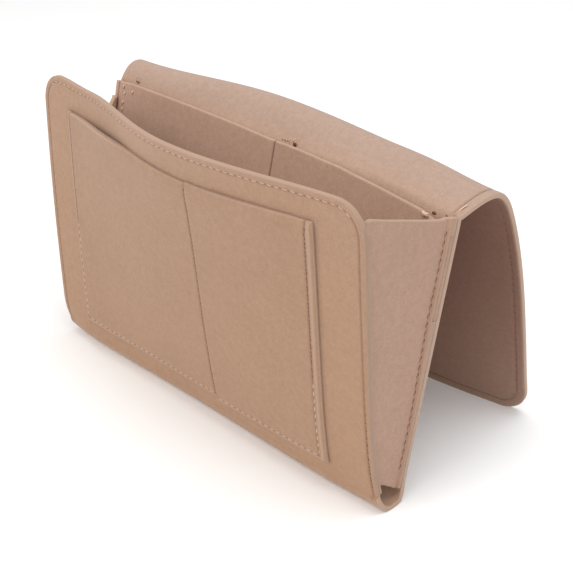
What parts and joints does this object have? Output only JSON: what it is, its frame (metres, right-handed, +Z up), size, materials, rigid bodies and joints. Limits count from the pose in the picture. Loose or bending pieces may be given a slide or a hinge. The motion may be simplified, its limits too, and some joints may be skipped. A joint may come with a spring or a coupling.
{
  "type": "bedside caddy",
  "caption": "Felt bedside caddy: a folded felt body open at the top between side gussets, with front and inner pockets and a flap that tucks under a mattress",
  "frame": {"origin": "centre of the footprint, on the surface that the caddy stands on", "axes": "+Z up, -Y toward the front pocket, +Y toward the flap, +X to the right seen from the front"},
  "size_m": [0.32, 0.1802, 0.2089],
  "materials": {
    "felt": "pressed wool-look felt, matt and slightly fuzzy"
  },
  "bodies": {
    "body": {"back_panel": "felt", "bottom_fold": "felt", "inner_pocket": "felt", "gusset_left": "felt", "gusset_right": "felt"},
    "front_wall": {"front_panel": "felt", "front_pocket": "felt"},
    "flap_root": {"flap_root": "felt"},
    "flap_tail": {"flap_tail": "felt"}
  },
  "joints": [
    {"name": "front_close", "type": "hinge", "parent": "body", "child": "front_wall", "pos_m": [0, -0.06238, 0.0139], "axis": [-1, 0, 0], "range_deg": [0, 13], "stiffness_Nm_per_rad": 0.3, "deforming": ["gusset_left", "gusset_right"]},
    {"name": "flap_bend", "type": "hinge", "parent": "body", "child": "flap_root", "pos_m": [0, 0.00823, 0.18135], "axis": [0.9998, -0.0053, -0.0196], "range_deg": [-12, 100]},
    {"name": "flap_fold", "type": "hinge", "parent": "flap_root", "child": "flap_tail", "pos_m": [0, 0.04927, 0.16375], "axis": [0.9964, 0.0592, -0.0607], "range_deg": [-6, 85]}
  ]
}
